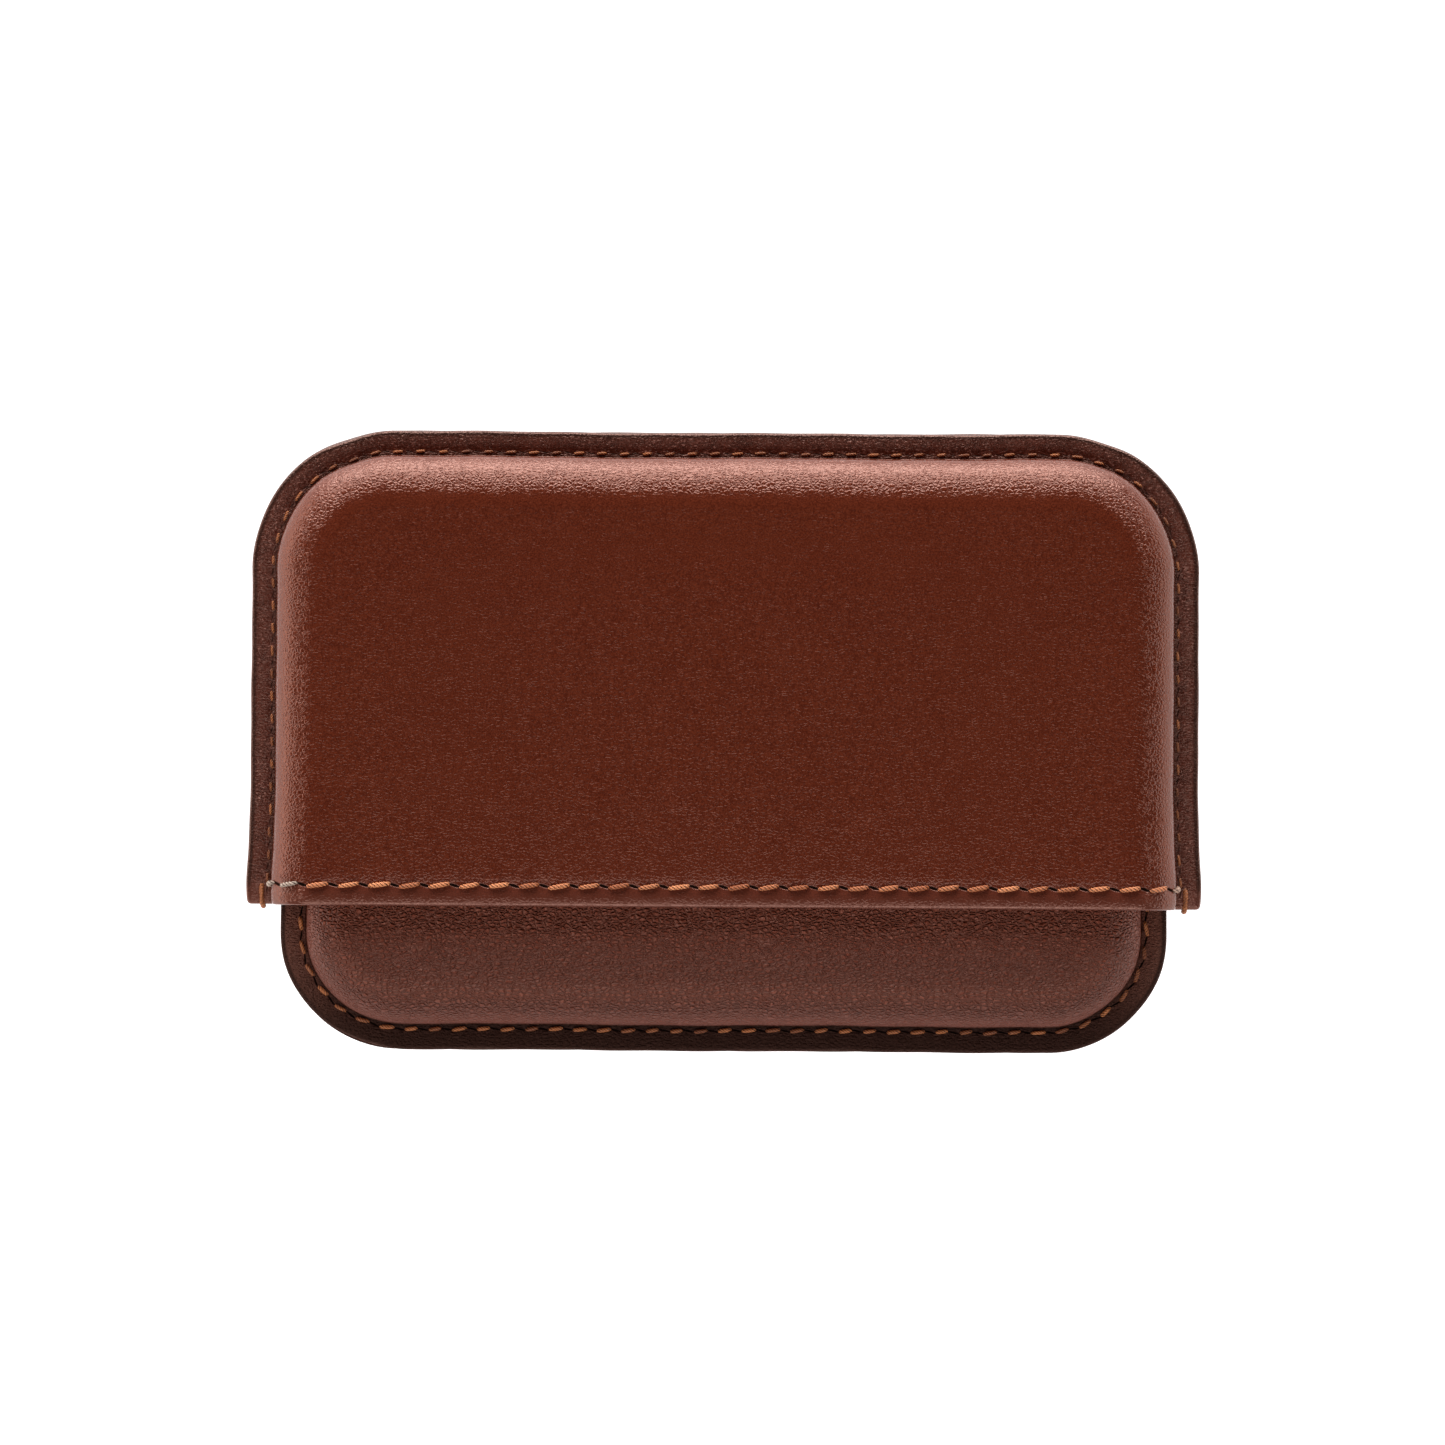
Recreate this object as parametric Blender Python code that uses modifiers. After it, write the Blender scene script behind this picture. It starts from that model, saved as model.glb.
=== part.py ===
"""A two-part business card case in moulded leather.

A cap slips over a tray. Each half is a front shell and a back shell that meet in a flat
rim, stitched together round three sides and open at the mouth. A shell is an outer leather,
a flat stiffener board behind its face, and a thin lining.

Metres, +Z up out of the front face, +Y towards the closed end of the cap. The origin is the
centre of the closed case's footprint, on the surface that it lies on.
"""

import math
from collections import namedtuple

import bmesh
import bpy

MM = 0.001

# Overall sizes of the closed case.
CASE_LENGTH = 70.0 * MM
CASE_THICKNESS = 15.0 * MM
CAP_WIDTH = 108.0 * MM
CAP_LENGTH = 53.6 * MM
CAP_CORNER = 15.0 * MM
TRAY_WIDTH = 100.5 * MM
TRAY_LENGTH = 55.8 * MM
TRAY_CORNER = 13.7 * MM

# Layers, from the outside in. Neighbouring layers keep a glue line between them.
LEATHER = 0.8 * MM
BOARD = 0.4 * MM
LINING = 0.25 * MM
GLUE_LINE = 0.05 * MM
SLIDING_GAP = 0.3 * MM

# The moulded section: a flat rim, a small hollow at its foot, a steep wall, a tight turn, and
# a broad shoulder that takes over from the turn at the shoulder angle.
WALL_ANGLE = math.radians(84)
SHOULDER_ANGLE = math.radians(52)
FOOT_RADIUS = 0.4 * MM
TURN_RADIUS = 1.3 * MM
CAP_RIM_FLAT = 2.1 * MM
CAP_SHOULDER = 6.5 * MM
TRAY_RIM_FLAT = 2.3 * MM
TRAY_SHOULDER = 6.0 * MM

# Stitching.
THREAD_RADIUS = 0.25 * MM
GROOVE_RADIUS = 0.3 * MM
GROOVE_DEPTH = 0.27 * MM
RIM_SEAM_INSET = 1.75 * MM
MOUTH_SEAM_INSET = 2.3 * MM
SEAM_END = 0.6 * MM

# Finer than this is left to the smooth shading.
CORNER_STEPS = 8
FOOT_STEPS = 3
TURN_STEPS = 2
SHOULDER_STEPS = 4
TUBE_RESOLUTION = 2
OVERRUN = 12.0 * MM
SHARP_ANGLE = math.radians(40)

BOARD_SLOT = BOARD + 2 * GLUE_LINE
LINING_DEPTH = LEATHER + GLUE_LINE
RIM_THICKNESS = LINING_DEPTH + LINING + GLUE_LINE / 2
FACE_THICKNESS = LEATHER + BOARD_SLOT + LINING
TRAY_HALF_THICKNESS = CASE_THICKNESS / 2 - FACE_THICKNESS - SLIDING_GAP

# In a half's own frame the mouth is at y = 0, the closed end at +y, and z = 0 between its shells.
Half = namedtuple("Half", "name width length corner rim_flat shoulder top")
CAP = Half(
    "cap", CAP_WIDTH, CAP_LENGTH, CAP_CORNER, CAP_RIM_FLAT, CAP_SHOULDER, CASE_THICKNESS / 2
)
TRAY = Half(
    "tray", TRAY_WIDTH, TRAY_LENGTH, TRAY_CORNER, TRAY_RIM_FLAT, TRAY_SHOULDER, TRAY_HALF_THICKNESS
)
# Material: colour, roughness.
FINISHES = {
    "case_leather": ((0.105, 0.028, 0.016, 1.0), 0.42),
    "lining_leather": ((0.16, 0.07, 0.035, 1.0), 0.75),
    "stiffener_board": ((0.35, 0.26, 0.17, 1.0), 0.9),
    "sewing_thread": ((0.55, 0.19, 0.06, 1.0), 0.6),
}


def clear_scene():
    for old in list(bpy.data.objects):
        bpy.data.objects.remove(old)


def new_collection(name):
    collection = bpy.data.collections.new(name)
    bpy.context.scene.collection.children.link(collection)
    return collection


def make_material(name):
    colour, roughness = FINISHES[name]
    material = bpy.data.materials.new(name)
    material.use_nodes = True
    shader = material.node_tree.nodes["Principled BSDF"]
    shader.inputs["Base Color"].default_value = colour
    shader.inputs["Roughness"].default_value = roughness
    shader.inputs["Metallic"].default_value = 0.0
    material.diffuse_color = colour
    return material


def arc(centre, radius, start, end, steps):
    """Points on a circle of the (inset, height) plane. An angle of 0 points straight down."""
    points = []
    for step in range(steps + 1):
        angle = start + (end - start) * step / steps
        points.append(
            (centre[0] + radius * math.sin(angle), centre[1] - radius * math.cos(angle))
        )
    return points


def shoulder_centre(half):
    """Centre of the broad shoulder, as (inset from the rim's edge, height)."""
    foot_rise = FOOT_RADIUS * (1 - math.cos(WALL_ANGLE))
    turn_rise = TURN_RADIUS * (math.cos(SHOULDER_ANGLE) - math.cos(WALL_ANGLE))
    shoulder_rise = half.shoulder * (1 - math.cos(SHOULDER_ANGLE))
    wall_rise = half.top - RIM_THICKNESS - foot_rise - turn_rise - shoulder_rise
    turn_run = TURN_RADIUS * (math.sin(WALL_ANGLE) - math.sin(SHOULDER_ANGLE))
    shoulder_run = half.shoulder * math.sin(SHOULDER_ANGLE)
    run = FOOT_RADIUS * math.sin(WALL_ANGLE) + wall_rise / math.tan(WALL_ANGLE)
    return half.rim_flat + run + turn_run + shoulder_run, half.top - half.shoulder


def section(half, depth=0.0, lowered=0.0):
    """The moulded section of a surface that lies depth below the outside of the leather.

    It runs from the rim's edge to the flat face, as (inset, height) points. Its face is
    lowered by a further amount where a board lies over it.
    """
    foot_centre = (half.rim_flat, RIM_THICKNESS + FOOT_RADIUS)
    foot = arc(foot_centre, FOOT_RADIUS + depth, 0.0, WALL_ANGLE, FOOT_STEPS)
    inset, height = shoulder_centre(half)
    centre = (inset - lowered / math.tan(WALL_ANGLE), height - lowered)
    apart = half.shoulder - TURN_RADIUS
    turn_centre = (
        centre[0] - apart * math.sin(SHOULDER_ANGLE),
        centre[1] + apart * math.cos(SHOULDER_ANGLE),
    )
    wall, brow = math.pi + WALL_ANGLE, math.pi + SHOULDER_ANGLE
    turn = arc(turn_centre, TURN_RADIUS - depth, wall, brow, TURN_STEPS)
    shoulder = arc(centre, half.shoulder - depth, brow, math.pi, SHOULDER_STEPS)
    return [(0.0, RIM_THICKNESS - depth)] + foot + turn + shoulder[1:]


def end_corners(half, inset):
    """The two round corners of the closed end, inset from the rim's edge, anticlockwise."""
    radius = half.corner - inset
    centre_x = half.width / 2 - half.corner
    centre_y = half.length - half.corner
    right = []
    for step in range(CORNER_STEPS + 1):
        angle = math.pi / 2 * step / CORNER_STEPS
        right.append((centre_x + radius * math.cos(angle), centre_y + radius * math.sin(angle)))
    return right + [(-x, y) for x, y in reversed(right)]


def outline(half, inset, mouth):
    """A closed outline with round corners at the closed end and square ones at y = mouth."""
    side = half.width / 2 - inset
    return [(-side, mouth), (side, mouth)] + end_corners(half, inset)


def moulded_skin(half, points):
    """An open moulded surface that follows a section, cut off straight at the mouth."""
    bm = bmesh.new()
    edge = outline(half, 0.0, -OVERRUN)
    face = bm.faces.new([bm.verts.new((x, y, points[0][1])) for x, y in edge])
    bm.normal_update()
    for (inset, height), (next_inset, next_height) in zip(points, points[1:]):
        bmesh.ops.inset_region(
            bm,
            faces=[face],
            thickness=next_inset - inset,
            depth=next_height - height,
            use_boundary=True,
            use_even_offset=True,
        )
    geometry = bm.verts[:] + bm.edges[:] + bm.faces[:]
    bmesh.ops.bisect_plane(
        bm, geom=geometry, plane_co=(0, 0, 0), plane_no=(0, -1, 0), clear_outer=True
    )
    mesh = bpy.data.meshes.new("skin")
    bm.to_mesh(mesh)
    bm.free()
    mesh.shade_smooth()
    mesh.set_sharp_from_angle(angle=SHARP_ANGLE)
    return mesh


def place(name, data, half_empty, collection, material):
    piece = bpy.data.objects.new(name, data)
    piece.parent = half_empty
    data.materials.append(material)
    collection.objects.link(piece)
    return piece


def add_solidify(piece, thickness):
    modifier = piece.modifiers.new("thickness", "SOLIDIFY")
    modifier.thickness = thickness
    modifier.offset = -1
    modifier.use_even_offset = True


def tube(name, points, radius, cyclic=False):
    """A round cord along the points."""
    curve = bpy.data.curves.new(name, "CURVE")
    curve.dimensions = "3D"
    curve.bevel_depth = radius
    curve.bevel_resolution = TUBE_RESOLUTION
    curve.use_fill_caps = not cyclic
    spline = curve.splines.new("POLY")
    spline.points.add(len(points) - 1)
    for point, place_at in zip(spline.points, points):
        point.co = (*place_at, 1.0)
    spline.use_cyclic_u = cyclic
    return curve


def mouth_seam_path(half):
    """The line of the mouth's stitching, over one shell from wall to wall."""
    wall_to_face = section(half, GROOVE_DEPTH)[FOOT_STEPS + 1 :]
    right = [(half.width / 2 - inset, MOUTH_SEAM_INSET, height) for inset, height in wall_to_face]
    left = [(-x, y, z) for x, y, z in reversed(right)]
    return right + left


def rim_seam_path(half):
    """The line of the rim's stitching, from the mouth round the closed end and back."""
    height = RIM_THICKNESS + THREAD_RADIUS + GLUE_LINE
    run = half.width / 2 - RIM_SEAM_INSET
    line = [(run, SEAM_END), *end_corners(half, RIM_SEAM_INSET), (-run, SEAM_END)]
    return [(x, y, height) for x, y in line]


def make_groove(name, half, empty, cutters):
    """The cutter of the groove that the mouth's stitching is sunk in."""
    guide = bpy.data.objects.new(name, tube(name, mouth_seam_path(half), GROOVE_RADIUS))
    cutters.objects.link(guide)
    graph = bpy.context.evaluated_depsgraph_get()
    mesh = bpy.data.meshes.new_from_object(guide.evaluated_get(graph))
    bpy.data.objects.remove(guide)
    bm = bmesh.new()
    bm.from_mesh(mesh)
    bmesh.ops.remove_doubles(bm, verts=bm.verts, dist=0.001 * MM)
    bm.to_mesh(mesh)
    bm.free()
    cutter = bpy.data.objects.new(name, mesh)
    cutter.parent = empty
    cutter.hide_render = True
    cutter.display_type = "WIRE"
    cutters.objects.link(cutter)
    return cutter


def make_leather(name, half, empty, parts, cutters, material):
    shell = place(f"{name}_leather", moulded_skin(half, section(half)), empty, parts, material)
    add_solidify(shell, LEATHER)
    groove = shell.modifiers.new("stitch groove", "BOOLEAN")
    groove.operation = "DIFFERENCE"
    groove.solver = "EXACT"
    groove.object = make_groove(f"{name}_groove", half, empty, cutters)


def make_lining(name, half, empty, parts, material):
    points = section(half, LINING_DEPTH, BOARD_SLOT - GLUE_LINE)
    lining = place(f"{name}_lining", moulded_skin(half, points), empty, parts, material)
    add_solidify(lining, LINING)


def make_board(name, half, empty, parts, material):
    """The flat stiffener behind the face, as wide as the flat between the shoulders."""
    inset, _ = shoulder_centre(half)
    curve = bpy.data.curves.new(name, "CURVE")
    curve.dimensions = "2D"
    curve.fill_mode = "BOTH"
    curve.extrude = BOARD / 2
    spline = curve.splines.new("POLY")
    edge = outline(half, inset, SEAM_END)
    spline.points.add(len(edge) - 1)
    for point, (x, y) in zip(spline.points, edge):
        point.co = (x, y, 0.0, 1.0)
    spline.use_cyclic_u = True
    board = place(f"{name}_board", curve, empty, parts, material)
    board.location.z = half.top - LEATHER - GLUE_LINE - BOARD / 2


def make_seams(name, half, empty, parts, material):
    for seam, path in (("rim", rim_seam_path(half)), ("mouth", mouth_seam_path(half))):
        seam_name = f"{name}_{seam}_thread"
        place(seam_name, tube(seam_name, path, THREAD_RADIUS), empty, parts, material)


def make_half(half, mouth_y, turn, parts, cutters, materials):
    """One half of the case. The back is the front rolled over, about the axis it slides on."""
    for side, roll in (("front", 0.0), ("back", math.pi)):
        name = f"{half.name}_{side}"
        empty = bpy.data.objects.new(name, None)
        empty.location = (0, mouth_y, CASE_THICKNESS / 2)
        empty.rotation_euler = (0, roll, turn)
        parts.objects.link(empty)
        make_leather(name, half, empty, parts, cutters, materials["case_leather"])
        make_board(name, half, empty, parts, materials["stiffener_board"])
        make_lining(name, half, empty, parts, materials["lining_leather"])
        make_seams(name, half, empty, parts, materials["sewing_thread"])


def main():
    clear_scene()
    parts = new_collection("business_card_case")
    cutters = new_collection("cutters")
    materials = {name: make_material(name) for name in FINISHES}
    cap_mouth = CASE_LENGTH / 2 - CAP_LENGTH
    tray_mouth = TRAY_LENGTH - CASE_LENGTH / 2
    make_half(CAP, cap_mouth, 0.0, parts, cutters, materials)
    make_half(TRAY, tray_mouth, math.pi, parts, cutters, materials)


main()
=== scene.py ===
"""The looks of a slip-on business card case in moulded leather.

Every shell is a fine skin laid over the frame's own outline and section: a burnished rim edge,
a stitch channel with needle slits, a round shoulder and a rolled mouth edge. The threads are
rows of separate stitches, each laid up from three plies. Lengths are in millimetres until a
mesh is made.
"""

import math
from collections import namedtuple

import bpy
import numpy as np
from mathutils import Matrix, Vector


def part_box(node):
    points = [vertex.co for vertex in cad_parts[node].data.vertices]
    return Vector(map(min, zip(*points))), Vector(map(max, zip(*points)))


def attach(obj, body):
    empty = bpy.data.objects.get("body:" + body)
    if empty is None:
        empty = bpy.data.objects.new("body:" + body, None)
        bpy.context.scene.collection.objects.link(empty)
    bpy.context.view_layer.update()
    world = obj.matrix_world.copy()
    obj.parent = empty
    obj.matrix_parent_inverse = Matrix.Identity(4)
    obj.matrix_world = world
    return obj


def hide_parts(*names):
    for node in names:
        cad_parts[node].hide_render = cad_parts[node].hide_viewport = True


MM = 0.001
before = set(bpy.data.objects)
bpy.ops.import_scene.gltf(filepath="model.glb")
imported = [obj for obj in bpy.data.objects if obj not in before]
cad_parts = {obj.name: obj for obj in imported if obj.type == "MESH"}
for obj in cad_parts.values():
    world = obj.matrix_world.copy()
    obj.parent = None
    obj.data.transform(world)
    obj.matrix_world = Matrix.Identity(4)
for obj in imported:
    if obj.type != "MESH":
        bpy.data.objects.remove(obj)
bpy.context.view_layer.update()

# Layers, from the outside in.
LEATHER = 0.8
LINING_DEPTH = 0.85
LINING = 0.25
BOARD_SLOT = 0.45
RIM_HEIGHT = 1.125
MID_HEIGHT = 7.5

# Section of the moulding.
WALL_ANGLE = math.radians(87)
SHOULDER_ANGLE = math.radians(52)
FOOT_RADIUS = 0.15
TURN_RADIUS = 1.3
EDGE_ROUND = 0.42
LIP = 0.6
WALL_SWELL = 0.3
LINING_PRESS = 0.15
MOUTH_ROLL = 0.4
ROLL_STEPS = 8

# Spacing of the skin's vertices, and the make-up of a thread.
FINE = 0.5
COARSE = 1.3
STITCH_STEPS = 20
PLY_SPREAD = 1.02
THREAD_SIDES = 8
WRAP_PLY = 0.165
WRAP_TWIST = 0.9
WRAP_INSET = 1.8
WRAP_SHADE = 0.75
FIRST_SEED = 12

# Where the rim seams start, behind the mouth's edge, and how many coarse stitches a half's mouth
# has on either side of the middle.
RIM_SEAM_START = 1.75
MOUTH_STITCHES = {"cap": 16, "tray": 14}

# A distance that stands for a point being nowhere near a seam or the rim.
FAR = 60.0

Half = namedtuple("Half", "name width length corner rim_flat shoulder rim_seam top mouth turn")
Seam = namedtuple("Seam", "pitch inset gap tilt ply lift twist slit_length slit_width slit_lean")

MOUTH_SEAM = Seam(3.39, 2.35, 0.27, 0.19, 0.138, 0.2, 1.25, 0.74, 0.18, math.radians(-17))
CAP_RIM_SEAM = Seam(2.58, 2.38, 0.5, 0.05, 0.085, 0.0, 0.85, 0.4, 0.06, math.radians(-12))
TRAY_RIM_SEAM = Seam(2.76, 2.35, 0.4, 0.12, 0.122, 0.06, 0.95, 0.7, 0.1, math.radians(-12))
# The tray's mouth stitches are hammered flat, to pass under the cap's lining.
MOUTH_SEAMS = {"cap": MOUTH_SEAM, "tray": MOUTH_SEAM._replace(ply=0.12, lift=-0.06)}


def measured_half(name, corner, rim_flat, shoulder, rim_seam, turn):
    """A half, with its width, length, height and mouth taken from the frame's own leather."""
    low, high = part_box(f"{name}_front_leather")
    low, high = np.array(low) / MM, np.array(high) / MM
    mouth = high[1] if turn else low[1]
    return Half(
        name,
        high[0] - low[0],
        high[1] - low[1],
        corner,
        rim_flat,
        shoulder,
        rim_seam,
        high[2] - MID_HEIGHT,
        mouth,
        turn,
    )


CAP = measured_half("cap", 15.7, 2.68, 6.7, CAP_RIM_SEAM, 0.0)
TRAY = measured_half("tray", 13.7, 2.8, 6.0, TRAY_RIM_SEAM, math.pi)


# ---------------------------------------------------------------- sections


def arc(centre, radius, start, end, steps):
    """Points on a circle of the (inset, height) plane. An angle of 0 points straight down."""
    angles = np.linspace(start, end, steps + 1)
    return [(centre[0] + radius * math.sin(a), centre[1] - radius * math.cos(a)) for a in angles]


def shoulder_centre(half):
    """Centre of the broad shoulder, as (inset from the rim's edge, height)."""
    foot_rise = FOOT_RADIUS * (1 - math.cos(WALL_ANGLE))
    turn_rise = TURN_RADIUS * (math.cos(SHOULDER_ANGLE) - math.cos(WALL_ANGLE))
    shoulder_rise = half.shoulder * (1 - math.cos(SHOULDER_ANGLE))
    wall_rise = half.top - RIM_HEIGHT - foot_rise - turn_rise - shoulder_rise
    turn_run = TURN_RADIUS * (math.sin(WALL_ANGLE) - math.sin(SHOULDER_ANGLE))
    shoulder_run = half.shoulder * math.sin(SHOULDER_ANGLE)
    run = FOOT_RADIUS * math.sin(WALL_ANGLE) + wall_rise / math.tan(WALL_ANGLE)
    return half.rim_flat + run + turn_run + shoulder_run, half.top - half.shoulder


def dome_section(half, depth, lowered, steps):
    """The foot, wall and shoulder of a surface, depth below the outside of the leather."""
    foot_centre = (half.rim_flat, RIM_HEIGHT + FOOT_RADIUS)
    foot = arc(foot_centre, FOOT_RADIUS + depth, 0.0, WALL_ANGLE, steps // 2)
    inset, height = shoulder_centre(half)
    centre = (inset - lowered / math.tan(WALL_ANGLE), height - lowered)
    apart = half.shoulder - TURN_RADIUS
    turn_centre = (
        centre[0] - apart * math.sin(SHOULDER_ANGLE),
        centre[1] + apart * math.cos(SHOULDER_ANGLE),
    )
    wall_end, brow = math.pi + WALL_ANGLE, math.pi + SHOULDER_ANGLE
    turn = arc(turn_centre, TURN_RADIUS - depth, wall_end, brow, steps // 3)
    shoulder = arc(centre, half.shoulder - depth, brow, math.pi, steps)
    (x0, z0), (x1, z1) = foot[-1], turn[0]
    wall_steps = max(2, int(math.hypot(x1 - x0, z1 - z0) / 0.5))
    wall = [
        (x0 + (x1 - x0) * k / wall_steps, z0 + (z1 - z0) * k / wall_steps)
        for k in range(1, wall_steps)
    ]
    return foot + wall + turn + shoulder[1:]


def leather_section(half):
    """The outer section from the foot of the rim's edge to the flat face, and the inner one."""
    edge = [(0.1, 0.02), (0.02, 0.1), (0.0, 0.3), (0.0, RIM_HEIGHT - EDGE_ROUND)]
    centre = (EDGE_ROUND, RIM_HEIGHT - EDGE_ROUND)
    edge += [
        (centre[0] - EDGE_ROUND * math.cos(a), centre[1] + EDGE_ROUND * math.sin(a))
        for a in np.linspace(0, math.pi / 2, 6)[1:]
    ]
    flat = [(x, RIM_HEIGHT) for x in np.linspace(EDGE_ROUND, half.rim_flat, 10)[1:-1]]
    outer = np.array(edge + flat + dome_section(half, 0.0, 0.0, 10))
    normals = section_normals(outer)
    inner = outer - normals * LEATHER
    inner[len(edge) :, 0] -= WALL_SWELL
    under = RIM_HEIGHT - LEATHER
    lip = outer[:, 0] < LIP
    inner[lip, 0] = LIP
    inner[lip, 1] = np.linspace(0.02, under, lip.sum())
    return outer, inner, normals


def section_normals(points):
    """The outward direction at each point of a section."""
    tangent = np.gradient(points, axis=0)
    normal = np.stack([-tangent[:, 1], tangent[:, 0]], axis=1)
    return normal / np.linalg.norm(normal, axis=1, keepdims=True)


def run_along(points):
    """The distance along a line of points, at each of them."""
    steps = np.linalg.norm(np.diff(points, axis=0), axis=1)
    return np.concatenate([[0.0], np.cumsum(steps)])


# ---------------------------------------------------------------- outlines

Path = namedtuple("Path", "rows angles columns")


def u_path(half, spacing, first_row):
    """Where a skin's points lie along a side, round a corner and across the closed end."""
    straight = half.length - half.corner
    rows = np.linspace(first_row, straight, int((straight - first_row) / spacing) + 1)
    angles = np.linspace(0, math.pi / 2, int(half.corner * math.pi / 2 / spacing) + 1)
    across = half.width - 2 * half.corner
    columns = np.linspace(1, -1, 2 * int(across / spacing / 2) + 1)
    return Path(rows, angles, columns)


def ring(half, path, inset):
    """The outline at an inset, from the mouth's right corner round to its left one."""
    centre_x = half.width / 2 - half.corner
    centre_y = half.length - half.corner
    radius = half.corner - inset
    side = np.stack([np.full(len(path.rows), half.width / 2 - inset), path.rows], axis=1)
    turn = path.angles[1:]
    corner = np.stack(
        [centre_x + radius * np.cos(turn), centre_y + radius * np.sin(turn)], axis=1
    )
    middle = path.columns[1:-1]
    top = np.stack([centre_x * middle, np.full(len(middle), half.length - inset)], axis=1)
    right = np.concatenate([side, corner])
    return np.concatenate([right, top, right[::-1] * [-1, 1]])


class Skin:
    """A moulded surface as a grid: rings over the rim and wall, and a ladder over the face."""

    def __init__(self, half, path, section):
        self.half = half
        self.rings = len(section)
        self.last = len(path.rows) + len(path.angles) - 2
        self.span = len(path.columns) - 1
        outlines = [ring(half, path, inset) for inset, _ in section]
        self.round = len(outlines[0])
        self.on_rings = self.rings * self.round
        self.ring_of = np.repeat(np.arange(self.rings), self.round)
        points = [
            np.column_stack([outline, np.full(self.round, height)])
            for outline, (_, height) in zip(outlines, section)
        ]
        inner = points[-1]
        ladder = [
            np.column_stack(
                [
                    inner[row, 0] * path.columns[1:-1],
                    np.full(self.span - 1, inner[row, 1]),
                    np.full(self.span - 1, inner[row, 2]),
                ]
            )
            for row in range(self.last)
        ]
        self.points = np.concatenate(points + ladder)

    def ring_point(self, ring_number, place):
        return ring_number * self.round + place

    def ladder_point(self, row, column):
        """column runs from the right wall to the left one."""
        if column == 0:
            return self.ring_point(self.rings - 1, row)
        if column == self.span:
            return self.ring_point(self.rings - 1, self.round - 1 - row)
        if row == self.last:
            return self.ring_point(self.rings - 1, row + column)
        return self.on_rings + row * (self.span - 1) + column - 1

    def ring_faces(self):
        faces = []
        for a in range(self.rings - 1):
            for b in range(self.round - 1):
                faces.append(
                    (
                        self.ring_point(a, b),
                        self.ring_point(a, b + 1),
                        self.ring_point(a + 1, b + 1),
                        self.ring_point(a + 1, b),
                    )
                )
        return faces

    def ladder_faces(self):
        faces = []
        for row in range(self.last):
            for column in range(self.span):
                faces.append(
                    (
                        self.ladder_point(row, column),
                        self.ladder_point(row + 1, column),
                        self.ladder_point(row + 1, column + 1),
                        self.ladder_point(row, column + 1),
                    )
                )
        return faces

    def strip_faces(self):
        """The face as wide strips, for a side that nobody sees."""
        faces = []
        for row in range(self.last):
            near = [self.ladder_point(row, c) for c in range(self.span + 1)]
            far = [self.ladder_point(row + 1, c) for c in range(self.span + 1)]
            if row > 0:
                near = [near[0], near[-1]]
            if row + 1 < self.last:
                far = [far[0], far[-1]]
            faces.append(tuple(near[::-1] + far))
        return faces

    def mouth_line(self):
        """The points along the mouth, from the right edge of the rim to the left one."""
        right = [self.ring_point(a, 0) for a in range(self.rings)]
        middle = [self.ladder_point(0, c) for c in range(1, self.span)]
        left = [self.ring_point(a, self.round - 1) for a in reversed(range(self.rings))]
        return right + middle + left

    def edge_line(self):
        """The points round the foot of the rim's edge."""
        return [self.ring_point(0, b) for b in range(self.round)]


# ---------------------------------------------------------------- hand-made unevenness


def smooth(value, low, high):
    """0 below low and 1 above high, with a soft step between them."""
    t = np.clip((value - low) / (high - low), 0, 1)
    return t * t * (3 - 2 * t)


def settle(half, points, front):
    """Moves points of either half the little that hand moulding and long use leave."""
    x, y, z = points.T.copy()
    out = np.sign(x) * smooth(np.abs(x), 38, 50)
    if half.name == "cap":
        # The sides flare towards the mouth, and the closed end bows out between its corners.
        flare = 0.26 * np.exp(-(((y - 2.6) / 9) ** 2)) + 0.16 * np.exp(-(((y - 2.6) / 3) ** 2))
        x = x + out * (flare - 0.1)
        x = x - out * 0.12 * np.clip(1 - y / 0.9, 0, 1) ** 2 * smooth(np.abs(x), 52, 54)
        rise = 0.32 + 0.12 * (x / 46) ** 2
        y = y + rise * smooth(y, 40, 52)
        bend = np.exp(-(((np.abs(x) - 43) / 3) ** 2))
        y = y - 0.35 * bend * smooth(y, half.length - 6, half.length - 1)
    else:
        # The closed end stands a little to the left, most of all at its right corner.
        x = x + 0.12 * out - 0.02
        x = x + 0.15 * out * smooth(y, half.length - 16, half.length - 9)
        x = x - 0.35 * smooth(y, half.length - 5, half.length)
        x = x - 0.6 * smooth(y, half.length - 3, half.length) * smooth(x, 30, 44)
    x = x + 0.03 * out * np.sin(0.29 * y + 1.3) + 0.02 * out * np.sin(0.83 * y)
    end = smooth(y, half.length - 12, half.length - 2)
    y = y + end * (0.05 * np.sin(0.19 * x + 0.4) + 0.03 * np.sin(0.61 * x))
    if front:
        crown = np.clip(1 - (x / 46) ** 2, 0, 1) * smooth(y, -6, 14)
        crown = crown * smooth(half.length - y, 4, 20)
        z = z + 0.22 * crown * smooth(z, half.top - 1.5, half.top)
    return np.stack([x, y, z], axis=1)


def shell_matrix(half, front):
    """From a half's own frame, with its mouth on the X axis, to its place in the case."""
    roll = 0.0 if front else math.pi
    turn = Matrix.Rotation(half.turn, 4, "Z") @ Matrix.Rotation(roll, 4, "Y")
    return Matrix.Translation((0, half.mouth * MM, MID_HEIGHT * MM)) @ turn


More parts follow.
